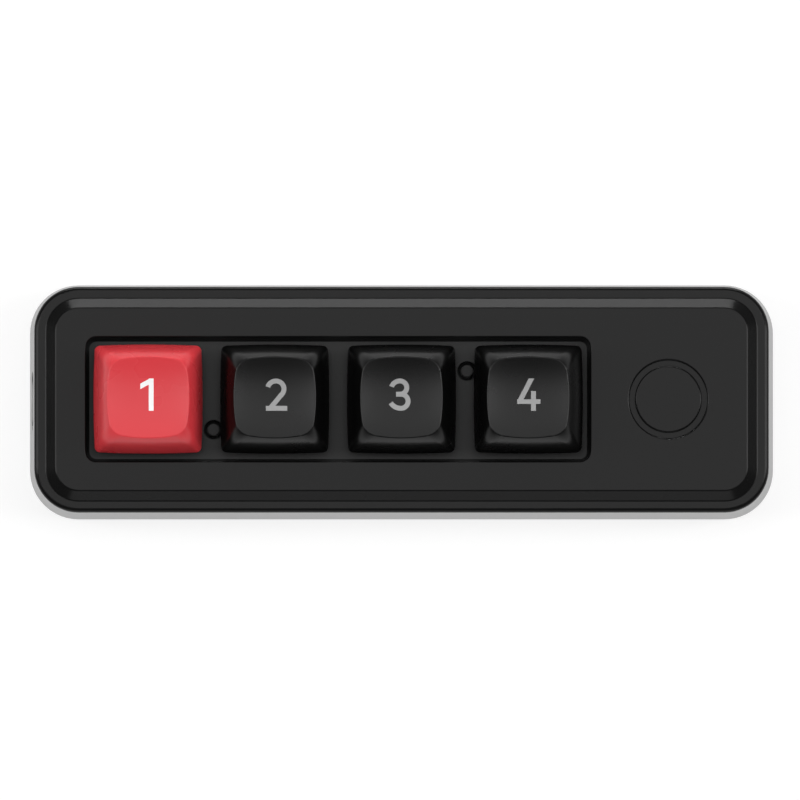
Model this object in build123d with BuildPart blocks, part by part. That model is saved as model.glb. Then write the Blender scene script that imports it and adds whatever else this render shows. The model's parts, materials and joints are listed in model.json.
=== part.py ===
"""Four-key macro keypad with a round push button. Millimetres, +Z up, +X right, +Y back.

The origin is on the desk, under the middle of the case. The silver shell stands on
rubber feet, the black cover closes it, and the plate is clamped between the two.
"""

from build123d import *
from math import atan2, degrees
import os

# Case outline, at the seam between the silver shell and the black cover
case_length = 123.9
case_width = 38.1
case_corner = 7.5

# Silver shell
shell_height = 12.0
shell_flare = 0.75
shell_floor = 2.0
shell_wall = 2.2
shell_bottom_edge = 1.0

# Rubber feet
foot_diameter = 9.0
foot_proud = 1.0
foot_pocket_depth = 0.6
foot_pocket_gap = 0.1
foot_edge = 0.35
foot_from_end = 15.3
foot_from_side = 6.1

# Black cover: a flat rim, a bevel and a raised top
rim_rise = 2.65
rim_edge = 0.75
rim_width = 1.94
bevel_width = 1.7
bevel_rise = 1.35
bevel_blend = 0.4
cover_skin = 1.8
lip_depth = 1.0
lip_wall = 1.9
lip_gap = 0.1

# Key field: as many keys as fit between the left end and the round button
key_from_end = 19.21
key_gap = 2.97
well_margin = 1.3
well_corner = 1.8
well_wall = 1.6
well_narrowing = 0.6
well_edge = 0.25

# Switch plate and circuit board
plate_thickness = 1.5
plate_gap = 0.2
plate_to_board = 5.0
plate_cutout_gap = 0.05
plate_cutout_corner = 0.5
board_thickness = 1.6
board_above_floor = 2.4
board_end_gap = 0.6
board_side_gap = 2.0
board_corner = 1.5
board_tab_width = 17.0
board_tab_gap = 0.35
board_screw_inset = 2.2
board_screw_side_share = 0.55
board_boss_diameter = 5.0

# Posts whose ends show in the plate between the keys
post_foot_diameter = 5.0
post_waist_diameter = 2.1
post_tip_diameter = 1.8
post_board_gap = 0.15
post_ring_diameter = 3.3
post_spigot_length = 0.8
post_spigot_gap = 0.05
post_from_row = 4.95
post_from_middle = 0.37

# Keycaps
cap_base_width = 18.4
cap_top_width = 13.8
cap_height = 9.1
cap_crown = 0.6
cap_base_bow = 0.22
cap_top_bow = 0.5
cap_base_corner = 1.0
cap_top_corner = 2.3
cap_wall = 1.4
cap_roof = 1.5
cap_skirt_clearance = 6.0
cap_dish_depth = 0.6
cap_boss_diameter = 5.5
cap_boss_gap = 0.1
cap_rim_edge = 0.25
cap_draft_share = 0.6
cap_taper_power = 5
cap_section_shares = (0, 0.35, 0.6, 0.75, 0.87, 0.95, 1)

# Legends, moulded through the dish
legend_height = 5.45
legend_stroke = 0.82
legend_bar_stroke = 0.76
legend_depth = 0.5
legend_raise = 0.45

# Key switches
key_travel = 4.0
switch_body = 13.9
switch_flange_overhang = 0.85
switch_flange_rise = 1.0
switch_corner = 0.6
switch_floor = 1.5
switch_wall = 1.35
switch_cavity_corner = 0.5
switch_top_base = 14.6
switch_top_rise = 5.6
switch_top_narrowing = 1.5
switch_top_roof = 1.0
switch_top_wall = 1.4
switch_top_corner = 1.0
switch_centre_post = 3.9
switch_below_board = 3.3
switch_post_floor = 0.8
switch_peg_diameter = 1.6
switch_peg_offset = 5.08
switch_hole_gap = 0.1
guide_tube_diameter = 3.6
guide_tube_rise = 0.7
guide_bore = 2.8
pole_gap = 0.1
pole_bottom_gap = 0.2
stem_length = 7.0
stem_depth = 6.0
stem_flange_length = 9.0
stem_flange_thickness = 1.5
stem_stop_gap = 0.1
stem_side_gap = 0.25
stem_bottom_gap = 0.4
stem_spring_bore = 4.9
stem_spring_roof = 1.4
cross_length = 4.0
cross_rise = 3.6
cross_blade_x = 1.3
cross_blade_y = 1.15
cross_gap = 0.03
cross_slot_spare = 0.2
spring_wire = 0.3
spring_turns = 7
spring_seat_gap = 0.03

# Switch contacts, and the sockets under the board that they plug into
contact_pin_width = 0.9
contact_sheet = 0.3
contact_slot_gap = 0.15
contact_near_x = 2.54
contact_near_wall_gap = 0.37
contact_far_y = 2.54
contact_far_wall_gap = 1.5
contact_leaf_width = 5.0
contact_leaf_rise = 3.6
contact_foot_rise = 0.8
contact_far_leaf_width = 1.4
contact_far_leaf_gap = 0.8
socket_barrel_diameter = 2.9
socket_bore = 1.6
socket_thickness = 1.8
socket_barrel_gap = 0.05
socket_pad_length = 4.4
socket_near_pad_width = 4.4
socket_far_pad_width = 2.9
socket_bridge_width = 3.0

# Round button
button_from_end = 16.95
button_from_keys = 23.5
button_hole_diameter = 13.15
button_disc_diameter = 11.3
button_flange_diameter = 15.4
button_flange_gap = 0.05
button_pocket_gap = 0.4
button_lip = 0.5
button_edge = 0.3
button_stem_diameter = 5.0
button_stem_length = 1.15
button_stem_gap = 0.05
button_travel = 0.5
button_guide_wall = 1.2
button_guide_depth = 1.8
button_plate_hole = 9.2

# Tactile switch under the button
tact_width = 6.0
tact_body_height = 3.2
tact_cover_thickness = 0.3
tact_plunger_diameter = 3.5
tact_plunger_gap = 0.1
tact_dome_rest = 0.2
tact_bore_floor = 1.5
tact_dome_thickness = 0.1
tact_dome_diameter = 3.4
tact_leg_width = 0.7
tact_leg_thickness = 0.3
tact_leg_spacing_x = 6.5
tact_leg_spacing_y = 4.5
tact_leg_length = 3.0
tact_leg_hole_gap = 0.15

# USB-C socket in the left end
port_width = 9.95
port_height = 4.2
usb_width = 8.94
usb_height = 3.26
usb_length = 7.35
usb_shell_wall = 0.3
usb_shell_corner = 1.2
usb_recess = 0.35
usb_tongue_width = 6.7
usb_tongue_thickness = 0.7
usb_tongue_length = 4.6
usb_block_length = 1.6
usb_fit = 0.03
usb_leg_length = 1.1
usb_leg_thickness = 0.3
usb_leg_drop = 2.2
usb_leg_gap = 0.15
usb_leg_inset_shares = (0.3, 0.8)

# Case screws, inserts and the pillars that hold them
pillar_corner_offset = 1.0
shell_pillar_diameter = 6.6
cover_pillar_diameter = 5.8
insert_diameter = 3.2
insert_length = 3.0
insert_gap = 0.02
screw_diameter = 2.0
screw_thread_gap = 0.03
screw_hole_gap = 0.2
screw_head_diameter = 3.8
screw_head_height = 1.3
screw_head_recess = 1.6
screw_head_gap = 0.2
screw_length = 12.0
screw_socket = 1.5
screw_socket_depth = 0.7
board_screw_length = 4.0
board_screw_pilot_spare = 0.3

# Chips and small parts on the board, in a column left of the button
chips_x_share = 0.38
processor_size = (7.0, 7.0, 0.9)
processor_y_share = 0.24
crystal_size = (3.2, 2.5, 0.8)
crystal_y_share = 0.03
regulator_size = (6.5, 3.5, 1.6)
regulator_y_share = -0.24
diode_size = (2.7, 1.6, 1.1)
diode_y = -7.2
passive_size = (1.6, 0.8, 0.6)
passive_pitch = 2.2
passive_y_share = -0.1
passive_count = 4
chip_corner = 0.1

# Derived heights
shell_bottom_z = foot_proud
floor_z = shell_bottom_z + shell_floor
seam_z = shell_bottom_z + shell_height
rim_z = seam_z + rim_rise
top_z = rim_z + bevel_rise
ceiling_z = top_z - cover_skin
board_bottom_z = floor_z + board_above_floor
board_top_z = board_bottom_z + board_thickness
plate_top_z = board_top_z + plate_to_board
plate_bottom_z = plate_top_z - plate_thickness
well_depth = top_z - plate_top_z
cap_z = plate_top_z + cap_skirt_clearance
housing_split_z = plate_top_z + switch_flange_rise
housing_top_z = housing_split_z + switch_top_rise

# Derived plan sizes
cover_inset = shell_wall + lip_gap + lip_wall
flare_angle = degrees(atan2(shell_flare, shell_height))
bevel_angle = degrees(atan2(bevel_width, bevel_rise))
top_narrowing_angle = degrees(atan2(switch_top_narrowing, switch_top_rise))
well_angle = degrees(atan2(well_narrowing, well_depth))
button_x = case_length / 2 - button_from_end
key_pitch = cap_base_width + key_gap
first_key_x = key_from_end - case_length / 2
key_count = 1 + int((button_x - button_from_keys - first_key_x) / key_pitch)
key_xs = [first_key_x + number * key_pitch for number in range(key_count)]
row_centre_x = (key_xs[0] + key_xs[-1]) / 2
well_length = key_xs[-1] - key_xs[0] + cap_base_width + 2 * well_margin
well_width = cap_base_width + 2 * well_margin
well_wall_z = ceiling_z - plate_top_z
pillar_x = case_length / 2 - case_corner + pillar_corner_offset
pillar_y = case_width / 2 - case_corner + pillar_corner_offset
pillar_places = [(sx * pillar_x, sy * pillar_y) for sx in (-1, 1) for sy in (-1, 1)]
foot_x = case_length / 2 - foot_from_end
foot_y = case_width / 2 - foot_from_side
foot_places = [(sx * foot_x, sy * foot_y) for sx in (-1, 1) for sy in (-1, 1)]
post_places = [
    (key_xs[0] + key_pitch / 2 + post_from_middle, -post_from_row),
    (key_xs[-1] - key_pitch / 2 + post_from_middle, post_from_row),
]
board_length = 2 * (pillar_x - shell_pillar_diameter / 2 - board_end_gap)
board_width = case_width - 2 * shell_wall - 2 * board_side_gap
board_tab_x = -(case_length / 2 - shell_wall - board_tab_gap)
board_screw_x = board_length / 2 - board_screw_inset
board_screw_y = switch_body / 2 + board_screw_side_share * (board_width - switch_body) / 2
board_screw_places = [
    (sx * board_screw_x, sy * board_screw_y) for sx in (-1, 1) for sy in (-1, 1)
]
peg_places = [(-switch_peg_offset, 0), (switch_peg_offset, 0)]
switch_cavity = switch_body - 2 * switch_wall
contact_near_y = switch_cavity / 2 - contact_near_wall_gap - contact_sheet / 2
contact_far_x = contact_far_wall_gap + contact_sheet / 2 - switch_cavity / 2
contact_near_pin = (contact_near_x, contact_near_y)
contact_far_pin = (contact_far_x, contact_far_y)
pin_places = [contact_near_pin, contact_far_pin]
plate_cutout = switch_body + 2 * plate_cutout_gap
switch_flange = switch_body + 2 * switch_flange_overhang
chips_start_x = key_xs[-1] + switch_body / 2
chips_end_x = button_x - tact_width / 2
chips_x = chips_start_x + chips_x_share * (chips_end_x - chips_start_x)
dish_radius = ((cap_top_width / 2) ** 2 + cap_dish_depth**2) / (2 * cap_dish_depth)
dish_bottom = cap_height - cap_dish_depth
usb_middle_z = board_top_z + usb_height / 2
usb_outer_x = usb_recess - case_length / 2 - shell_flare / 2


pieces = {}


def rounded_plan(length, width, corner, height):
    """Rounded rectangle in plan, centred on the case, at the given height."""
    with BuildSketch(Plane.XY.offset(height)) as plan:
        RectangleRounded(length, width, corner)
    return plan.sketch


def inset_plan(inset, height):
    """The case outline drawn in by the inset, at the given height."""
    return rounded_plan(
        case_length - 2 * inset, case_width - 2 * inset, case_corner - inset, height
    )


# Silver shell
with BuildPart() as base_shell:
    bottom_plan = inset_plan(-shell_flare, shell_bottom_z)
    extrude(bottom_plan, amount=shell_height, taper=flare_angle)
    fillet(base_shell.edges().group_by(Axis.Z)[0], shell_bottom_edge)
    extrude(
        inset_plan(shell_wall, floor_z),
        amount=shell_height - shell_floor,
        mode=Mode.SUBTRACT,
    )
    with BuildSketch(Plane.XY.offset(floor_z)):
        with Locations(pillar_places):
            Circle(shell_pillar_diameter / 2)
    extrude(amount=plate_bottom_z - floor_z)
    with BuildSketch(Plane.XY.offset(floor_z)):
        with Locations(board_screw_places):
            Circle(board_boss_diameter / 2)
    extrude(amount=board_bottom_z - floor_z)
    # Screw recesses and holes up through the corner pillars
    with BuildSketch(Plane.XY.offset(shell_bottom_z)):
        with Locations(pillar_places):
            Circle(screw_head_diameter / 2 + screw_head_gap)
    extrude(amount=screw_head_recess, mode=Mode.SUBTRACT)
    with BuildSketch(Plane.XY.offset(shell_bottom_z)):
        with Locations(pillar_places):
            Circle(screw_diameter / 2 + screw_hole_gap)
    extrude(amount=shell_height, mode=Mode.SUBTRACT)
    # Pilot holes of the board screws
    with BuildSketch(Plane.XY.offset(board_bottom_z)):
        with Locations(board_screw_places):
            Circle(screw_diameter / 2 + screw_thread_gap)
    extrude(
        amount=board_thickness - board_screw_length - board_screw_pilot_spare,
        mode=Mode.SUBTRACT,
    )
    # Blind holes that the posts stand in
    with BuildSketch(Plane.XY.offset(floor_z)):
        with Locations(post_places):
            Circle(post_tip_diameter / 2 + post_spigot_gap)
    extrude(amount=-post_spigot_length - post_spigot_gap, mode=Mode.SUBTRACT)
    # Pockets of the feet
    with BuildSketch(Plane.XY.offset(shell_bottom_z)):
        with Locations(foot_places):
            Circle(foot_diameter / 2 + foot_pocket_gap)
    extrude(amount=foot_pocket_depth, mode=Mode.SUBTRACT)
    # Slot of the USB-C port in the left end
    end_plane = Plane(
        origin=(-case_length / 2 - shell_flare, 0, usb_middle_z),
        x_dir=(0, 1, 0),
        z_dir=(1, 0, 0),
    )
    with BuildSketch(end_plane):
        SlotOverall(port_width, port_height)
    extrude(amount=shell_wall + 2 * shell_flare, mode=Mode.SUBTRACT)
pieces["base_shell"] = base_shell

# Black cover
with BuildPart() as top_cover:
    extrude(inset_plan(0, seam_z), amount=rim_rise)
    fillet(top_cover.edges().group_by(Axis.Z)[-1], rim_edge)
    extrude(inset_plan(rim_width, rim_z), amount=bevel_rise, taper=bevel_angle)
    fillet(top_cover.edges(Select.LAST).group_by(Axis.Z)[0], bevel_blend)
    fillet(top_cover.edges().group_by(Axis.Z)[-1], bevel_blend)
    extrude(
        inset_plan(cover_inset, seam_z),
        amount=ceiling_z - seam_z,
        mode=Mode.SUBTRACT,
    )
    # Lip that drops inside the shell
    extrude(inset_plan(shell_wall + lip_gap, seam_z - lip_depth), amount=lip_depth)
    extrude(
        inset_plan(cover_inset, seam_z - lip_depth),
        amount=ceiling_z - seam_z + lip_depth,
        mode=Mode.SUBTRACT,
    )
    # Walls of the key well, down to the plate
    with BuildSketch(Plane.XY.offset(plate_top_z)):
        with Locations((row_centre_x, 0)):
            RectangleRounded(
                well_length + 2 * well_wall,
                well_width + 2 * well_wall,
                well_corner + well_wall,
            )
    extrude(amount=well_wall_z)
    # Pillars that hold the threaded inserts
    with BuildSketch(Plane.XY.offset(plate_top_z)):
        with Locations(pillar_places):
            Circle(cover_pillar_diameter / 2)
    extrude(amount=well_wall_z)
    # Ring that guides the button
    with BuildSketch(Plane.XY.offset(ceiling_z - button_guide_depth)):
        with Locations((button_x, 0)):
            Circle(button_flange_diameter / 2 + button_pocket_gap + button_guide_wall)
    extrude(amount=button_guide_depth)
    # The well itself
    with BuildSketch(Plane.XY.offset(plate_top_z)):
        with Locations((row_centre_x, 0)):
            RectangleRounded(
                well_length - 2 * well_narrowing,
                well_width - 2 * well_narrowing,
                well_corner - well_narrowing,
            )
    extrude(amount=well_depth, taper=-well_angle, mode=Mode.SUBTRACT)
    fillet(top_cover.edges(Select.LAST).group_by(Axis.Z)[-1], well_edge)
    with BuildSketch(Plane.XY.offset(plate_top_z)):
        with Locations(pillar_places):
            Circle(insert_diameter / 2)
    extrude(amount=insert_length, mode=Mode.SUBTRACT)
    # Hole and pocket of the round button
    with BuildSketch(Plane.XY.offset(ceiling_z - button_guide_depth)):
        with Locations((button_x, 0)):
            Circle(button_flange_diameter / 2 + button_pocket_gap)
    extrude(
        amount=button_guide_depth + cover_skin - button_lip, mode=Mode.SUBTRACT
    )
    with BuildSketch(Plane.XY.offset(ceiling_z)):
        with Locations((button_x, 0)):
            Circle(button_hole_diameter / 2)
    extrude(amount=cover_skin, mode=Mode.SUBTRACT)
    fillet(top_cover.edges(Select.LAST).group_by(Axis.Z)[-1], button_edge)
pieces["top_cover"] = top_cover

# Switch plate, clamped between the pillars of the shell and of the cover
plate_inset = cover_inset + plate_gap
with BuildPart() as switch_plate:
    extrude(inset_plan(plate_inset, plate_bottom_z), amount=plate_thickness)
    with BuildSketch(Plane.XY.offset(plate_bottom_z)):
        with Locations([(x, 0) for x in key_xs]):
            RectangleRounded(plate_cutout, plate_cutout, plate_cutout_corner)
        with Locations(post_places):
            Circle(post_ring_diameter / 2)
        with Locations(pillar_places):
            Circle(screw_diameter / 2 + screw_hole_gap)
        with Locations((button_x, 0)):
            Circle(button_plate_hole / 2)
    extrude(amount=plate_thickness, mode=Mode.SUBTRACT)
pieces["switch_plate"] = switch_plate

# Circuit board, with a tab that carries the USB-C socket
usb_leg_xs = [usb_outer_x + share * usb_length for share in usb_leg_inset_shares]
usb_leg_y = usb_width / 2 - usb_leg_thickness / 2
usb_leg_places = [(x, side * usb_leg_y) for x in usb_leg_xs for side in (-1, 1)]
tact_leg_places = [
    (button_x + sx * tact_leg_spacing_x / 2, sy * tact_leg_spacing_y / 2)
    for sx in (-1, 1)
    for sy in (-1, 1)
]
tab_length = -board_tab_x - board_length / 2 + board_corner
with BuildPart() as circuit_board:
    with BuildSketch(Plane.XY.offset(board_bottom_z)):
        RectangleRounded(board_length, board_width, board_corner)
        with Locations((board_tab_x + tab_length / 2, 0)):
            Rectangle(tab_length, board_tab_width)
        for x in key_xs:
            with Locations((x, 0)):
                Circle(switch_centre_post / 2 + switch_hole_gap, mode=Mode.SUBTRACT)
            with Locations([(x + px, py) for px, py in peg_places]):
                Circle(switch_peg_diameter / 2 + switch_hole_gap, mode=Mode.SUBTRACT)
            with Locations([(x + px, py) for px, py in pin_places]):
                Circle(socket_barrel_diameter / 2 + socket_barrel_gap, mode=Mode.SUBTRACT)
        with Locations(post_places):
            Circle(post_waist_diameter / 2 + post_board_gap, mode=Mode.SUBTRACT)
        with Locations(board_screw_places):
            Circle(screw_diameter / 2 + screw_hole_gap, mode=Mode.SUBTRACT)
        with Locations([place for place in usb_leg_places if place[0] > board_tab_x]):
            Rectangle(
                usb_leg_length + 2 * usb_leg_gap,
                usb_leg_thickness + 2 * usb_leg_gap,
                mode=Mode.SUBTRACT,
            )
        with Locations(tact_leg_places):
            Rectangle(
                tact_leg_thickness + 2 * tact_leg_hole_gap,
                tact_leg_width + 2 * tact_leg_hole_gap,
                mode=Mode.SUBTRACT,
            )
    extrude(amount=board_thickness)
pieces["circuit_board"] = circuit_board

# Posts under the plate, whose tips show as two small discs
with BuildPart() as support_posts:
    for height, diameter, length in (
        (floor_z - post_spigot_length, post_tip_diameter, post_spigot_length),
        (floor_z, post_foot_diameter, board_bottom_z - floor_z),
        (board_bottom_z, post_waist_diameter, plate_bottom_z - board_bottom_z),
        (plate_bottom_z, post_tip_diameter, plate_thickness),
    ):
        with BuildSketch(Plane.XY.offset(height)):
            with Locations(post_places):
                Circle(diameter / 2)
        extrude(amount=length)
pieces["support_posts"] = support_posts


def make_screws(places, seat_z, length, upwards):
    """Cheese-head screws with a hexagon socket, their heads seated at seat_z."""
    way = 1 if upwards else -1
    head_z = seat_z - way * screw_head_height
    with BuildPart() as screws:
        with BuildSketch(Plane.XY.offset(head_z)):
            with Locations(places):
                Circle(screw_head_diameter / 2)
        extrude(amount=way * screw_head_height)
        with BuildSketch(Plane.XY.offset(seat_z)):
            with Locations(places):
                Circle(screw_diameter / 2)
        extrude(amount=way * length)
        with BuildSketch(Plane.XY.offset(head_z)):
            with Locations(places):
                RegularPolygon(screw_socket / 2, 6, major_radius=False)
        extrude(amount=way * screw_socket_depth, mode=Mode.SUBTRACT)
    return screws


pieces["case_screws"] = make_screws(
    pillar_places, shell_bottom_z + screw_head_recess, screw_length, upwards=True
)
pieces["board_screws"] = make_screws(
    board_screw_places, board_top_z, board_screw_length, upwards=False
)

# Threaded inserts in the cover's pillars
with BuildPart() as threaded_inserts:
    with BuildSketch(Plane.XY.offset(plate_top_z)):
        with Locations(pillar_places):
            Circle(insert_diameter / 2 - insert_gap)
            Circle(screw_diameter / 2 + screw_thread_gap, mode=Mode.SUBTRACT)
    extrude(amount=insert_length)
pieces["threaded_inserts"] = threaded_inserts

# Rubber feet
with BuildPart() as rubber_feet:
    with BuildSketch():
        with Locations(foot_places):
            Circle(foot_diameter / 2)
    extrude(amount=foot_proud + foot_pocket_depth)
    fillet(rubber_feet.edges().group_by(Axis.Z)[0], foot_edge)
pieces["rubber_feet"] = rubber_feet

# Round button: a disc flush with the cover, on a wider flange that stays under it
flange_top_z = top_z - button_lip - button_flange_gap
plunger_top_z = ceiling_z - button_stem_length - button_stem_gap
with BuildPart() as button_cap:
    with BuildSketch(Plane.XY.offset(ceiling_z)):
        with Locations((button_x, 0)):
            Circle(button_flange_diameter / 2)
    extrude(amount=flange_top_z - ceiling_z)
    with BuildSketch(Plane.XY.offset(flange_top_z)):
        with Locations((button_x, 0)):
            Circle(button_disc_diameter / 2)
    extrude(amount=top_z - flange_top_z)
    fillet(button_cap.edges().group_by(Axis.Z)[-1], button_edge)
    with BuildSketch(Plane.XY.offset(plunger_top_z + button_stem_gap)):
        with Locations((button_x, 0)):
            Circle(button_stem_diameter / 2)
    extrude(amount=button_stem_length)
pieces["button_cap"] = button_cap

# Tactile switch: body, cover plate, legs, plunger and the snap dome under it
with BuildPart() as button_switch_body:
    with BuildSketch(Plane.XY.offset(board_top_z)):
        with Locations((button_x, 0)):
            Rectangle(tact_width, tact_width)
    extrude(amount=tact_body_height)
    with BuildSketch(Plane.XY.offset(board_top_z + tact_bore_floor)):
        with Locations((button_x, 0)):
            Circle(tact_plunger_diameter / 2 + tact_plunger_gap)
    extrude(amount=tact_body_height - tact_bore_floor, mode=Mode.SUBTRACT)
pieces["button_switch_body"] = button_switch_body

with BuildPart() as button_switch_cover:
    with BuildSketch(Plane.XY.offset(board_top_z + tact_body_height)):
        with Locations((button_x, 0)):
            Rectangle(tact_width, tact_width)
            Circle(tact_plunger_diameter / 2 + tact_plunger_gap, mode=Mode.SUBTRACT)
    extrude(amount=tact_cover_thickness)
pieces["button_switch_cover"] = button_switch_cover

with BuildPart() as button_switch_legs:
    leg_top_z = board_top_z + board_thickness / 2
    with BuildSketch(Plane.XY.offset(leg_top_z - tact_leg_length)):
        with Locations(tact_leg_places):
            Rectangle(tact_leg_thickness, tact_leg_width)
    extrude(amount=tact_leg_length)
pieces["button_switch_legs"] = button_switch_legs

dome_z = board_top_z + tact_bore_floor
plunger_bottom_z = dome_z + tact_dome_rest + button_travel
with BuildPart() as button_plunger:
    with BuildSketch(Plane.XY.offset(plunger_bottom_z)):
        with Locations((button_x, 0)):
            Circle(tact_plunger_diameter / 2)
    extrude(amount=plunger_top_z - plunger_bottom_z)
pieces["button_plunger"] = button_plunger

dome_rise = plunger_bottom_z - dome_z - tact_dome_thickness
with BuildPart() as button_dome:
    with BuildSketch(Plane.XZ):
        with BuildLine():
            ThreePointArc(
                (-tact_dome_diameter / 2, dome_z),
                (0, dome_z + dome_rise),
                (tact_dome_diameter / 2, dome_z),
            )
            Line(
                (tact_dome_diameter / 2, dome_z),
                (tact_dome_diameter / 2, dome_z + tact_dome_thickness),
            )
            ThreePointArc(
                (tact_dome_diameter / 2, dome_z + tact_dome_thickness),
                (0, dome_z + dome_rise + tact_dome_thickness),
                (-tact_dome_diameter / 2, dome_z + tact_dome_thickness),
            )
            Line(
                (-tact_dome_diameter / 2, dome_z + tact_dome_thickness),
                (-tact_dome_diameter / 2, dome_z),
            )
        make_face()
        split(bisect_by=Plane.YZ, keep=Keep.TOP)
    revolve(axis=Axis.Z)
with BuildPart() as button_switch_dome:
    with Locations((button_x, 0)):
        add(button_dome.part)
pieces["button_switch_dome"] = button_switch_dome

# USB-C socket: a drawn steel shell on four legs, and the insulator inside it
usb_end = Plane(origin=(usb_outer_x, 0, usb_middle_z), x_dir=(0, 1, 0), z_dir=(1, 0, 0))
with BuildPart() as usb_shell:
    with BuildSketch(usb_end):
        RectangleRounded(usb_width, usb_height, usb_shell_corner)
    extrude(amount=usb_length)
    with BuildSketch(usb_end):
        RectangleRounded(
            usb_width - 2 * usb_shell_wall,
            usb_height - 2 * usb_shell_wall,
            usb_shell_corner - usb_shell_wall,
        )
    extrude(amount=usb_length - usb_shell_wall, mode=Mode.SUBTRACT)
    with BuildSketch(Plane.XY.offset(usb_middle_z)):
        with Locations([place for place in usb_leg_places if place[0] > board_tab_x]):
            Rectangle(usb_leg_length, usb_leg_thickness)
    extrude(amount=-usb_height / 2 - usb_leg_drop)
pieces["usb_shell"] = usb_shell

block_x = usb_outer_x + usb_length - usb_shell_wall - usb_fit - usb_block_length
block_plane = Plane(origin=(block_x, 0, usb_middle_z), x_dir=(0, 1, 0), z_dir=(1, 0, 0))
with BuildPart() as usb_insulator:
    with BuildSketch(block_plane):
        RectangleRounded(
            usb_width - 2 * usb_shell_wall - 2 * usb_fit,
            usb_height - 2 * usb_shell_wall - 2 * usb_fit,
            usb_shell_corner - usb_shell_wall - usb_fit,
        )
    extrude(amount=usb_block_length)
    with BuildSketch(block_plane):
        Rectangle(usb_tongue_width, usb_tongue_thickness)
    extrude(amount=-usb_tongue_length)
pieces["usb_insulator"] = usb_insulator


def make_chips(size, places, bottom_z):
    """Small rectangular packages that stand on the board."""
    length, width, height = size
    with BuildPart() as chips:
        with BuildSketch(Plane.XY.offset(bottom_z)):
            with Locations(places):
                Rectangle(length, width)
        extrude(amount=height)
        chamfer(chips.edges().group_by(Axis.Z)[-1], chip_corner)
    return chips


passive_places = [
    (
        chips_x + (number - (passive_count - 1) / 2) * passive_pitch,
        passive_y_share * board_width,
    )
    for number in range(passive_count)
]
diode_places = [(x, diode_y) for x in key_xs]
processor_place = (chips_x, processor_y_share * board_width)
crystal_place = (chips_x, crystal_y_share * board_width)
regulator_place = (chips_x, regulator_y_share * board_width)
pieces["processor"] = make_chips(processor_size, [processor_place], board_top_z)
pieces["crystal"] = make_chips(crystal_size, [crystal_place], board_top_z)
pieces["voltage_regulator"] = make_chips(regulator_size, [regulator_place], board_top_z)
pieces["chip_capacitors"] = make_chips(passive_size, passive_places, board_top_z)
pieces["key_diodes"] = make_chips(
    diode_size, diode_places, board_bottom_z - diode_size[2]
)

# Sockets under the board, one for each switch
socket_z = board_bottom_z - socket_thickness
with BuildPart() as switch_sockets:
    with BuildSketch(Plane.XY.offset(socket_z)):
        for x in key_xs:
            with Locations((x + contact_near_pin[0], contact_near_pin[1])):
                Rectangle(socket_pad_length, socket_near_pad_width)
            with Locations((x + contact_far_pin[0], contact_far_pin[1])):
                Rectangle(socket_pad_length, socket_far_pad_width)
            bridge_y = (contact_near_pin[1] + contact_far_pin[1]) / 2
            with Locations((x + (contact_near_pin[0] + contact_far_pin[0]) / 2, bridge_y)):
                Rectangle(
                    contact_near_pin[0] - contact_far_pin[0],
                    socket_bridge_width,
                    align=(Align.CENTER, Align.MIN),
                )
    extrude(amount=socket_thickness)
    with BuildSketch(Plane.XY.offset(board_bottom_z)):
        for x in key_xs:
            with Locations([(x + px, py) for px, py in pin_places]):
                Circle(socket_barrel_diameter / 2)
    extrude(amount=board_thickness)
    with BuildSketch(Plane.XY.offset(socket_z)):
        for x in key_xs:
            with Locations([(x + px, py) for px, py in pin_places]):
                Circle(socket_bore / 2)
    extrude(amount=socket_thickness + board_thickness, mode=Mode.SUBTRACT)
pieces["switch_sockets"] = switch_sockets

# Parts of one key switch, at the origin in plan
switch_floor_z = board_top_z + switch_floor
post_bottom_z = board_top_z - switch_below_board
with BuildPart() as lower_housing:
    with BuildSketch(Plane.XY.offset(board_top_z)):
        RectangleRounded(switch_body, switch_body, switch_corner)
    extrude(amount=plate_to_board)
    with BuildSketch(Plane.XY.offset(plate_top_z)):
        RectangleRounded(switch_flange, switch_flange, switch_corner)
    extrude(amount=switch_flange_rise)
    with BuildSketch(Plane.XY.offset(switch_floor_z)):
        RectangleRounded(switch_cavity, switch_cavity, switch_cavity_corner)
    extrude(amount=housing_split_z - switch_floor_z, mode=Mode.SUBTRACT)
    with BuildSketch(Plane.XY.offset(switch_floor_z)):
        Circle(guide_tube_diameter / 2)
    extrude(amount=guide_tube_rise)
    with BuildSketch(Plane.XY.offset(post_bottom_z)):
        Circle(switch_centre_post / 2)
        with Locations(peg_places):
            Circle(switch_peg_diameter / 2)
    extrude(amount=switch_below_board)
    with BuildSketch(Plane.XY.offset(post_bottom_z + switch_post_floor)):
        Circle(guide_bore / 2)
    extrude(
        amount=switch_below_board - switch_post_floor + switch_floor + guide_tube_rise,
        mode=Mode.SUBTRACT,
    )
    # Slots that the contact pins leave through
    with BuildSketch(Plane.XY.offset(board_top_z)):
        with Locations(contact_near_pin):
            Rectangle(
                contact_pin_width + 2 * contact_slot_gap,
                contact_sheet + 2 * contact_slot_gap,
            )
        with Locations(contact_far_pin):
            Rectangle(
                contact_sheet + 2 * contact_slot_gap,
                contact_pin_width + 2 * contact_slot_gap,
            )
    extrude(amount=switch_floor, mode=Mode.SUBTRACT)

roof_z = housing_top_z - switch_top_roof
with BuildPart() as upper_housing:
    with BuildSketch(Plane.XY.offset(housing_split_z)):
        RectangleRounded(switch_top_base, switch_top_base, switch_top_corner)
    extrude(amount=switch_top_rise, taper=top_narrowing_angle)
    with BuildSketch(Plane.XY.offset(housing_split_z)):
        Rectangle(
            switch_top_base - 2 * switch_top_wall, switch_top_base - 2 * switch_top_wall
        )
    extrude(
        amount=roof_z - housing_split_z, taper=top_narrowing_angle, mode=Mode.SUBTRACT
    )
    with BuildSketch(Plane.XY.offset(roof_z)):
        Rectangle(stem_length + 2 * stem_side_gap, stem_depth + 2 * stem_side_gap)
    extrude(amount=switch_top_roof, mode=Mode.SUBTRACT)

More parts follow.
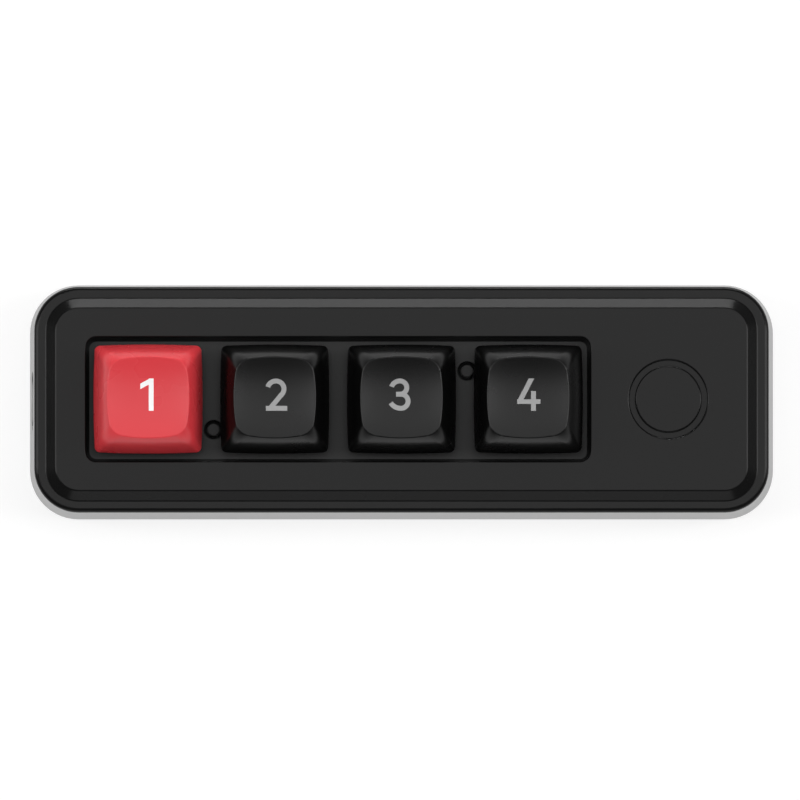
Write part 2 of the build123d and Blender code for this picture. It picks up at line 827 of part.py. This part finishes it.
# The stem's block fills the roof's opening, and its flange stops under the roof
stem_bottom_z = switch_floor_z + guide_tube_rise + stem_bottom_gap + key_travel
pole_bottom_z = post_bottom_z + switch_post_floor + pole_bottom_gap + key_travel
spring_top_z = housing_top_z - stem_spring_roof
with BuildPart() as stem:
    with BuildSketch(Plane.XY.offset(stem_bottom_z)):
        Rectangle(stem_length, stem_depth)
    extrude(amount=housing_top_z - stem_bottom_z)
    with BuildSketch(Plane.XY.offset(roof_z - stem_stop_gap)):
        Rectangle(stem_flange_length, stem_depth)
    extrude(amount=-stem_flange_thickness)
    with BuildSketch(Plane.XY.offset(stem_bottom_z)):
        Circle(stem_spring_bore / 2)
    extrude(amount=spring_top_z - stem_bottom_z, mode=Mode.SUBTRACT)
    with BuildSketch(Plane.XY.offset(pole_bottom_z)):
        Circle(guide_bore / 2 - pole_gap)
    extrude(amount=spring_top_z - pole_bottom_z)
    with BuildSketch(Plane.XY.offset(housing_top_z)):
        Rectangle(cross_length, cross_blade_x)
        Rectangle(cross_blade_y, cross_length)
    extrude(amount=cross_rise)

# Coil spring between the housing's floor and the stem
spring_radius = (guide_tube_diameter + stem_spring_bore) / 4
spring_height = spring_top_z - switch_floor_z - spring_wire - 2 * spring_seat_gap
coil_z = switch_floor_z + spring_seat_gap + spring_wire / 2
with BuildPart() as spring:
    with BuildLine(Plane.XY.offset(coil_z)):
        coil = Helix(spring_height / spring_turns, spring_height, spring_radius)
    with BuildSketch(Plane(origin=coil @ 0, z_dir=coil % 0)):
        Circle(spring_wire / 2)
    sweep(path=coil, is_frenet=True)

# Two contacts, each a leaf with a pin that leaves through the floor
pin_bottom_z = post_bottom_z
with BuildPart() as near_contact:
    with BuildSketch(Plane.XY.offset(pin_bottom_z)):
        with Locations(contact_near_pin):
            Rectangle(contact_pin_width, contact_sheet)
    extrude(amount=switch_floor_z - pin_bottom_z)
    with BuildSketch(Plane.XY.offset(switch_floor_z)):
        with Locations((0, contact_near_pin[1])):
            Rectangle(
                contact_near_pin[0] + contact_pin_width / 2,
                contact_sheet,
                align=(Align.MIN, Align.CENTER),
            )
            Rectangle(
                contact_leaf_width - contact_near_pin[0],
                contact_sheet,
                align=(Align.MAX, Align.CENTER),
            )
    extrude(amount=contact_leaf_rise)

far_leaf_end_y = switch_cavity / 2 - contact_far_leaf_gap
with BuildPart() as far_contact:
    with BuildSketch(Plane.XY.offset(pin_bottom_z)):
        with Locations(contact_far_pin):
            Rectangle(contact_sheet, contact_pin_width)
    extrude(amount=switch_floor_z - pin_bottom_z)
    foot_start_y = contact_far_pin[1] - contact_pin_width / 2
    with BuildSketch(Plane.XY.offset(switch_floor_z)):
        with Locations((contact_far_pin[0], foot_start_y)):
            Rectangle(
                contact_sheet,
                far_leaf_end_y - foot_start_y,
                align=(Align.CENTER, Align.MIN),
            )
    extrude(amount=contact_foot_rise)
    with BuildSketch(Plane.XY.offset(switch_floor_z)):
        with Locations((contact_far_pin[0], far_leaf_end_y)):
            Rectangle(
                contact_sheet,
                contact_far_leaf_width,
                align=(Align.CENTER, Align.MAX),
            )
    extrude(amount=contact_leaf_rise)


def cap_section(share, inset):
    """Outline of a keycap at a share of its height, drawn in by the inset.

    The sides bow outwards, and the cap rounds over towards its top.
    """
    narrowing = cap_draft_share * share
    narrowing += (1 - cap_draft_share) * share**cap_taper_power
    edge = (cap_base_width - (cap_base_width - cap_top_width) * narrowing) / 2 - inset
    bow = cap_base_bow + (cap_top_bow - cap_base_bow) * narrowing
    corner = cap_base_corner + (cap_top_corner - cap_base_corner) * narrowing
    tip = edge - bow
    with BuildSketch(Plane.XY.offset(cap_z + share * cap_height)) as section:
        with BuildLine():
            ThreePointArc((-tip, -tip), (0, -edge), (tip, -tip))
            ThreePointArc((tip, -tip), (edge, 0), (tip, tip))
            ThreePointArc((tip, tip), (0, edge), (-tip, tip))
            ThreePointArc((-tip, tip), (-edge, 0), (-tip, -tip))
        make_face()
        fillet(section.vertices(), corner)
    return section.sketch


# Keycap without its legend
crown_share = (cap_height + cap_crown) / cap_height
roof_share = (dish_bottom - cap_roof) / cap_height
boss_z = housing_top_z + cap_boss_gap
with BuildPart() as keycap:
    loft([cap_section(share * crown_share, 0) for share in cap_section_shares])
    with Locations((0, 0, cap_z + dish_bottom + dish_radius)):
        Sphere(dish_radius, mode=Mode.SUBTRACT)
    fillet(keycap.edges(Select.LAST), cap_rim_edge)
    loft([cap_section(0, cap_wall), cap_section(roof_share, cap_wall)], mode=Mode.SUBTRACT)
    with BuildSketch(Plane.XY.offset(boss_z)):
        Circle(cap_boss_diameter / 2)
    extrude(amount=cap_z + dish_bottom - cap_roof - boss_z)
    with BuildSketch(Plane.XY.offset(boss_z)):
        Rectangle(cross_length + 2 * cross_gap, cross_blade_x + 2 * cross_gap)
        Rectangle(cross_blade_y + 2 * cross_gap, cross_length + 2 * cross_gap)
    extrude(amount=cross_rise + cross_slot_spare, mode=Mode.SUBTRACT)


# Numerals, drawn as strokes whose points are shares of the numeral's height
def numeral_point(x_share, y_share):
    return (x_share * legend_height, y_share * legend_height)


def clip_numeral(left_share, right_share):
    """Trim the strokes of the sketch in progress to the numeral's box."""
    with Locations(numeral_point((left_share + right_share) / 2, 0)):
        Rectangle(
            (right_share - left_share) * legend_height, legend_height, mode=Mode.INTERSECT
        )


one_flag_shares = ((-0.34, 0.2), (0.2, 0.494))
one_stem_shares = ((0.096, 0.6), (0.096, -0.6))
one_sides_shares = (-0.24, 0.173)
two_end_shares = (-0.216, 0.238)
two_crown_shares = (0.039, 0.423)
two_bowl_radius_share = 0.245
two_bowl_end_angle = -40
two_tail_share = 0.75
two_foot_shares = ((-0.275, -0.423), (0.385, -0.423))
two_sides_shares = (-0.275, 0.385)
three_upper_end_shares = (-0.307, 0.245)
three_upper_crown_shares = (-0.055, 0.423)
three_upper_side_shares = (0.162, 0.219)
three_middle_share = 0.014
three_bar_share = -0.168
three_lower_side_shares = (0.204, -0.2045)
three_lower_crown_shares = (-0.023, -0.423)
three_lower_end_shares = (-0.331, -0.256)
four_slope_shares = ((0.126, 0.55), (-0.34, -0.358))
four_bar_shares = ((-0.341, -0.215), (0.379, -0.215))
four_stem_shares = ((0.162, 0.113), (0.162, -0.5))
four_sides_shares = (-0.341, 0.379)


def draw_line(shares, width):
    """One straight stroke of the sketch in progress."""
    start, end = (numeral_point(*point) for point in shares)
    with BuildLine() as stroke:
        Line(start, end)
    trace(stroke.line, width)


def numeral_one():
    with BuildSketch() as numeral:
        draw_line(one_flag_shares, legend_stroke)
        clip_numeral(one_sides_shares[0], one_stem_shares[0][0])
        draw_line(one_stem_shares, legend_stroke)
        clip_numeral(*one_sides_shares)
    return numeral.sketch


def numeral_two():
    crown = numeral_point(*two_crown_shares)
    radius = two_bowl_radius_share * legend_height
    with BuildSketch() as numeral:
        with BuildLine() as hook:
            TangentArc(crown, numeral_point(*two_end_shares), tangent=(-1, 0))
        trace(hook.line, legend_stroke)
        with BuildLine() as bowl:
            arc = CenterArc((crown[0], crown[1] - radius), radius, 90, two_bowl_end_angle - 90)
            Line(arc @ 1, arc @ 1 + (arc % 1) * two_tail_share * legend_height)
        trace(bowl.line, legend_stroke)
        clip_numeral(*two_sides_shares)
        draw_line(two_foot_shares, legend_stroke)
    return numeral.sketch


def numeral_three():
    upper_crown = numeral_point(*three_upper_crown_shares)
    lower_crown = numeral_point(*three_lower_crown_shares)
    upper_middle = numeral_point(three_upper_crown_shares[0], three_middle_share)
    lower_middle = numeral_point(three_lower_crown_shares[0], three_middle_share)
    bar_end = numeral_point(three_bar_share, three_middle_share)
    with BuildSketch() as numeral:
        with BuildLine() as upper_hook:
            TangentArc(upper_crown, numeral_point(*three_upper_end_shares), tangent=(-1, 0))
        trace(upper_hook.line, legend_stroke)
        with BuildLine() as upper_bowl:
            ThreePointArc(upper_crown, numeral_point(*three_upper_side_shares), upper_middle)
            Line(upper_middle, bar_end)
        trace(upper_bowl.line, legend_stroke)
        with BuildLine() as lower_bowl:
            Line(bar_end, lower_middle)
            ThreePointArc(lower_middle, numeral_point(*three_lower_side_shares), lower_crown)
        trace(lower_bowl.line, legend_stroke)
        with BuildLine() as lower_hook:
            TangentArc(lower_crown, numeral_point(*three_lower_end_shares), tangent=(-1, 0))
        trace(lower_hook.line, legend_stroke)
    return numeral.sketch


def numeral_four():
    with BuildSketch() as numeral:
        draw_line(four_slope_shares, legend_stroke)
        bar_low = four_bar_shares[0][1] * legend_height - legend_bar_stroke / 2
        with Locations((0, bar_low)):
            Rectangle(
                legend_height,
                legend_height,
                align=(Align.CENTER, Align.MIN),
                mode=Mode.INTERSECT,
            )
        draw_line(four_bar_shares, legend_bar_stroke)
        draw_line(four_stem_shares, legend_stroke)
        clip_numeral(*four_sides_shares)
    return numeral.sketch


legend_z = cap_z + dish_bottom - legend_depth
legend_top_z = cap_z + cap_height + cap_crown


def legend_block(numeral):
    """The numeral as a prism that runs up through the dish."""
    with BuildPart() as block:
        with BuildSketch(Plane.XY.offset(legend_z)):
            with Locations((0, legend_raise)):
                add(numeral)
        extrude(amount=legend_top_z - legend_z)
    return block.part


# Every key: its keycap and legend, and the parts of its switch
switch_parts = {
    "lower_housing": lower_housing,
    "upper_housing": upper_housing,
    "stem": stem,
    "spring": spring,
    "near_contact": near_contact,
    "far_contact": far_contact,
}
numerals = (numeral_one(), numeral_two(), numeral_three(), numeral_four())
for number, key_x in enumerate(key_xs, start=1):
    block = legend_block(numerals[(number - 1) % len(numerals)])
    with BuildPart() as cap:
        with Locations((key_x, 0)):
            add(keycap.part)
            add(block, mode=Mode.SUBTRACT)
    pieces[f"key_{number}_cap"] = cap
    with BuildPart() as legend:
        with Locations((key_x, 0)):
            add(block)
        with Locations((key_x, 0, cap_z + dish_bottom + dish_radius)):
            Sphere(dish_radius, mode=Mode.SUBTRACT)
    pieces[f"key_{number}_legend"] = legend
    for name, master in switch_parts.items():
        with BuildPart() as placed:
            with Locations((key_x, 0)):
                add(master.part)
        pieces[f"key_{number}_{name}"] = placed

os.makedirs("parts", exist_ok=True)
for name, piece in pieces.items():
    piece.part.label = name
    export_step(piece.part, f"parts/{name}.step")
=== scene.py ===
"""Looks of the four-key macro keypad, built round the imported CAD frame, in metres."""

import json
import math

import bmesh
import bpy
from mathutils import Matrix, Vector


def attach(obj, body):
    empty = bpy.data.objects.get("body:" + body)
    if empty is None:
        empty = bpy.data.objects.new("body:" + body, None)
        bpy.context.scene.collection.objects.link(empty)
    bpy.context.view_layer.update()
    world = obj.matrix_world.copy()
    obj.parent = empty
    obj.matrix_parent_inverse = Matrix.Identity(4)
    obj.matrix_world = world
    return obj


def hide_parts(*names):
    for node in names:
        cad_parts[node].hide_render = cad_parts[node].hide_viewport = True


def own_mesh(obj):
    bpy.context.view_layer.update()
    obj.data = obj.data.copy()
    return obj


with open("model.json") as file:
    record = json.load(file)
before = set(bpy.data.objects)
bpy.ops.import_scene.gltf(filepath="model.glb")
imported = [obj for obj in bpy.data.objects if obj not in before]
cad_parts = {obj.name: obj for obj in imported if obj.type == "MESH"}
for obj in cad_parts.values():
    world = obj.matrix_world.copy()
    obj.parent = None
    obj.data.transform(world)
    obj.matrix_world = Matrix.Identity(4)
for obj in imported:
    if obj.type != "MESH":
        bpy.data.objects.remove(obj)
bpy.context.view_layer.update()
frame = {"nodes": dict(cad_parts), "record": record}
nodes = frame["nodes"]
record = frame["record"]

MM = 0.001

# The photograph's frame, and where the middle of the case lies in it
PIXELS = 800
PIXELS_PER_MM = 5.93
CASE_CENTRE_PIXEL = (401.5, 402.8)
VIEW_ELEVATION = math.radians(88)
CAMERA_DISTANCE = 0.6

# Soft drift in the colour and gloss of every surface, and the noise of its grain
DRIFT_SCALE = 70.0
DRIFT_DETAIL = 3.0
DRIFT_ROUGHNESS = 0.55
DRIFT_LOW = 0.3
DRIFT_HIGH = 0.7
GLOSS_SPREAD = 0.04
GRAIN_DETAIL = 2.0

# Floor and backdrop: shade and glow are what the camera and reflections see
PALE = 0.8
FLOOR_SIZE = 4.0
FLOOR_SHADE = 0.3
FLOOR_GLOW = 0.75
BACKDROP_RADIUS = 1.99
BACKDROP_SIDES = 64
BACKDROP_TOP = 0.1
BACKDROP_BOTTOM = -0.45
BACKDROP_SHADE = 0.0
BACKDROP_GLOW = 1.0
WORLD_STRENGTH = 0.12

# Soft rectangular lamps: place, point aimed at, width and height, power
LAMPS = {
    "top_light": ((0, 0.25, 1.3), (0, 0.25, 0), (1.3, 0.8), 6.5),
    "left_light": ((-0.7, 0.05, 0.7), (0, 0, 0), (0.3, 0.9), 3.6),
    "right_light": ((0.7, 0.05, 0.7), (0, 0, 0), (0.3, 0.9), 4.2),
    "back_light": ((0, 0.8, 0.11), (0, 0, 0.01), (0.6, 0.1), 2.6),
    "front_light": ((0, -0.8, 0.16), (0, 0, 0.01), (0.6, 0.24), 0.6),
}


def rgb(*display_values):
    """Linear colour of 8-bit display values."""
    linear = []
    for value in display_values:
        share = value / 255
        linear.append(share / 12.92 if share <= 0.04045 else ((share + 0.055) / 1.055) ** 2.4)
    return tuple(linear)


def grey(value):
    return rgb(value, value, value)


# Colour, roughness, grain size and grain depth in millimetres, and share that the colour drifts
FINISHES = {
    "silver_shell": (grey(158), 0.42, 0.12, 0.004, 0.05),
    "black_cover": (grey(16), 0.24, 0.1, 0.001, 0.05),
    "black_plate": (grey(34), 0.3, 0.14, 0.001, 0.06),
    "red_keycap": (rgb(219, 61, 68), 0.28, 0.09, 0.0002, 0.015),
    "black_keycap": (grey(8), 0.28, 0.09, 0.0002, 0.04),
    "white_legend": (grey(250), 0.35, 0.09, 0.001, 0.01),
    "grey_legend": (grey(152), 0.35, 0.09, 0.001, 0.02),
    "switch_plastic": (grey(24), 0.4, 0.1, 0.002, 0.08),
    "switch_stem": (rgb(130, 40, 36), 0.4, 0.1, 0.002, 0.06),
    "circuit_board": (rgb(9, 11, 10), 0.6, 0.3, 0.006, 0.2),
    "chip_plastic": (grey(38), 0.6, 0.08, 0.004, 0.08),
    "chip_ceramic": (rgb(176, 150, 118), 0.6, 0.08, 0.003, 0.08),
    "steel": (grey(190), 0.3, 0.05, 0.001, 0.06),
    "brass": (rgb(212, 172, 96), 0.3, 0.05, 0.001, 0.06),
    "rubber": (grey(36), 0.85, 0.12, 0.01, 0.1),
}
METALLIC = {"silver_shell": 0.85, "steel": 1.0, "brass": 1.0}
SPECULAR = {"black_cover": 0.16, "black_plate": 0.2, "red_keycap": 0.25, "black_keycap": 0.22}
PLAIN_SPECULAR = 0.5


def make_camera():
    """A parallel view almost straight down, tilted a little towards the front."""
    data = bpy.data.cameras.new("camera")
    data.type = "ORTHO"
    data.ortho_scale = PIXELS / PIXELS_PER_MM * MM
    camera = bpy.data.objects.new("camera", data)
    bpy.context.collection.objects.link(camera)
    back = Vector((0, -math.cos(VIEW_ELEVATION), math.sin(VIEW_ELEVATION)))
    up = Vector((0, math.sin(VIEW_ELEVATION), math.cos(VIEW_ELEVATION)))
    right = Vector((1, 0, 0))
    shift_x = (PIXELS / 2 - CASE_CENTRE_PIXEL[0]) / PIXELS_PER_MM * MM
    shift_y = (CASE_CENTRE_PIXEL[1] - PIXELS / 2) / PIXELS_PER_MM * MM
    aim = right * shift_x + up * shift_y
    rotation = Matrix((right, up, back)).transposed().to_4x4()
    camera.matrix_world = Matrix.Translation(aim + back * CAMERA_DISTANCE) @ rotation
    bpy.context.scene.camera = camera


def new_material(name):
    """A node material, its node tree and its Principled shader."""
    material = bpy.data.materials.new(name)
    material.use_nodes = True
    tree = material.node_tree
    return material, tree, tree.nodes["Principled BSDF"]


def add_node(tree, kind, **inputs):
    """A node with its named input values set."""
    node = tree.nodes.new(kind)
    for key, value in inputs.items():
        node.inputs[key.replace("_", " ")].default_value = value
    return node


def surface(slot):
    """A moulded or coated surface: fine grain in the bump, soft drift in colour and gloss."""
    colour, roughness, grain_size, grain_depth, spread = FINISHES[slot]
    material, tree, bsdf = new_material(slot)
    links = tree.links
    bsdf.inputs["Metallic"].default_value = METALLIC.get(slot, 0.0)
    bsdf.inputs["Specular IOR Level"].default_value = SPECULAR.get(slot, PLAIN_SPECULAR)
    place = tree.nodes.new("ShaderNodeTexCoord")

    drift = add_node(
        tree,
        "ShaderNodeTexNoise",
        Scale=DRIFT_SCALE,
        Detail=DRIFT_DETAIL,
        Roughness=DRIFT_ROUGHNESS,
    )
    links.new(place.outputs["Object"], drift.inputs["Vector"])
    tint = tree.nodes.new("ShaderNodeValToRGB")
    ramp = tint.color_ramp
    ramp.interpolation = "EASE"
    ramp.elements[0].position = DRIFT_LOW
    ramp.elements[0].color = (*[channel * (1 - spread) for channel in colour], 1)
    ramp.elements[1].position = DRIFT_HIGH
    ramp.elements[1].color = (*[min(1, channel * (1 + spread)) for channel in colour], 1)
    links.new(drift.outputs["Fac"], tint.inputs["Fac"])
    links.new(tint.outputs["Color"], bsdf.inputs["Base Color"])

    gloss = add_node(
        tree,
        "ShaderNodeMapRange",
        From_Min=DRIFT_LOW,
        From_Max=DRIFT_HIGH,
        To_Min=roughness * (1 - GLOSS_SPREAD),
        To_Max=roughness * (1 + GLOSS_SPREAD),
    )
    gloss.interpolation_type = "SMOOTHSTEP"
    links.new(drift.outputs["Fac"], gloss.inputs["Value"])
    links.new(gloss.outputs["Result"], bsdf.inputs["Roughness"])

    grain_scale = 1 / (grain_size * MM)
    grain = add_node(tree, "ShaderNodeTexNoise", Scale=grain_scale, Detail=GRAIN_DETAIL)
    links.new(place.outputs["Object"], grain.inputs["Vector"])
    bump = add_node(tree, "ShaderNodeBump", Strength=1.0, Distance=grain_depth * MM)
    links.new(grain.outputs["Fac"], bump.inputs["Height"])
    links.new(bump.outputs["Normal"], bsdf.inputs["Normal"])
    return material


def dress_nodes():
    """Every CAD node takes the material of its slot in the record."""
    materials = {slot: surface(slot) for slot in FINISHES}
    for part in record["subparts"]:
        mesh = nodes[part["node"]].data
        mesh.materials.clear()
        mesh.materials.append(materials[part["material_slot"]])


def make_sprung_pieces():
    """The springs and the snap dome as copies of their meshes, hung on the root body in place
    of the hidden CAD parts.
    """
    for joint in record["behaviour"]["joints"]:
        for row in joint["deforming_nodes"]:
            node = row["node"]
            piece = bpy.data.objects.new(node + "_sprung", nodes[node].data.copy())
            bpy.context.collection.objects.link(piece)
            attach(piece, "root")
            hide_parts(node)
            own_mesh(piece)


def white_material(name, shade, glow_strength):
    """White to the camera and in reflections, and a plain pale surface to all other light."""
    material, tree, bsdf = new_material(name)
    links = tree.links
    tree.nodes.remove(bsdf)
    path = tree.nodes.new("ShaderNodeLightPath")
    seen = path.outputs["Is Camera Ray"]
    for ray in ("Is Glossy Ray", "Is Transmission Ray"):
        either = tree.nodes.new("ShaderNodeMath")
        either.operation = "MAXIMUM"
        links.new(seen, either.inputs[0])
        links.new(path.outputs[ray], either.inputs[1])
        seen = either.outputs[0]
    plain = add_node(tree, "ShaderNodeBsdfDiffuse", Color=(PALE, PALE, PALE, 1))
    shaded = add_node(tree, "ShaderNodeBsdfDiffuse", Color=(shade, shade, shade, 1))
    glow = add_node(tree, "ShaderNodeEmission", Color=(1, 1, 1, 1), Strength=glow_strength)
    white = tree.nodes.new("ShaderNodeAddShader")
    links.new(shaded.outputs[0], white.inputs[0])
    links.new(glow.outputs[0], white.inputs[1])
    mix = tree.nodes.new("ShaderNodeMixShader")
    links.new(seen, mix.inputs["Fac"])
    links.new(plain.outputs[0], mix.inputs[1])
    links.new(white.outputs[0], mix.inputs[2])
    links.new(mix.outputs[0], tree.nodes["Material Output"].inputs["Surface"])
    return material


def make_floor():
    """Pale floor that keeps the object's shadow."""
    bpy.ops.mesh.primitive_plane_add(size=FLOOR_SIZE)
    floor = bpy.context.object
    floor.name = "floor"
    floor.data.materials.append(white_material("floor_white", FLOOR_SHADE, FLOOR_GLOW))


def make_backdrop():
    """A low white bowl far round the floor and under it, for views along the floor."""
    shape = bmesh.new()
    bmesh.ops.create_circle(
        shape, cap_ends=True, radius=BACKDROP_RADIUS, segments=BACKDROP_SIDES
    )
    bmesh.ops.translate(shape, verts=shape.verts, vec=(0, 0, BACKDROP_BOTTOM))
    rim = [edge for edge in shape.edges if edge.is_boundary]
    wall = bmesh.ops.extrude_edge_only(shape, edges=rim)["geom"]
    raised = [item for item in wall if isinstance(item, bmesh.types.BMVert)]
    bmesh.ops.translate(shape, verts=raised, vec=(0, 0, BACKDROP_TOP - BACKDROP_BOTTOM))
    mesh = bpy.data.meshes.new("backdrop")
    shape.to_mesh(mesh)
    shape.free()
    backdrop = bpy.data.objects.new("backdrop", mesh)
    bpy.context.collection.objects.link(backdrop)
    mesh.materials.append(white_material("backdrop_white", BACKDROP_SHADE, BACKDROP_GLOW))


def make_light(name, place, aim, size, power):
    """A rectangular soft light at a place, turned to its aim."""
    data = bpy.data.lights.new(name, "AREA")
    data.shape = "RECTANGLE"
    data.size, data.size_y = size
    data.energy = power
    light = bpy.data.objects.new(name, data)
    bpy.context.collection.objects.link(light)
    light.location = place
    direction = Vector(aim) - Vector(place)
    light.rotation_euler = direction.to_track_quat("-Z", "Y").to_euler()


def make_world():
    """A dim even white all round."""
    world = bpy.data.worlds.new("studio")
    world.use_nodes = True
    background = world.node_tree.nodes["Background"]
    background.inputs["Color"].default_value = (1, 1, 1, 1)
    background.inputs["Strength"].default_value = WORLD_STRENGTH
    bpy.context.scene.world = world


dress_nodes()
make_camera()
make_world()
make_sprung_pieces()
make_floor()
make_backdrop()
for name, lamp in LAMPS.items():
    make_light(name, *lamp)

bpy.context.scene.view_settings.view_transform = "Standard"
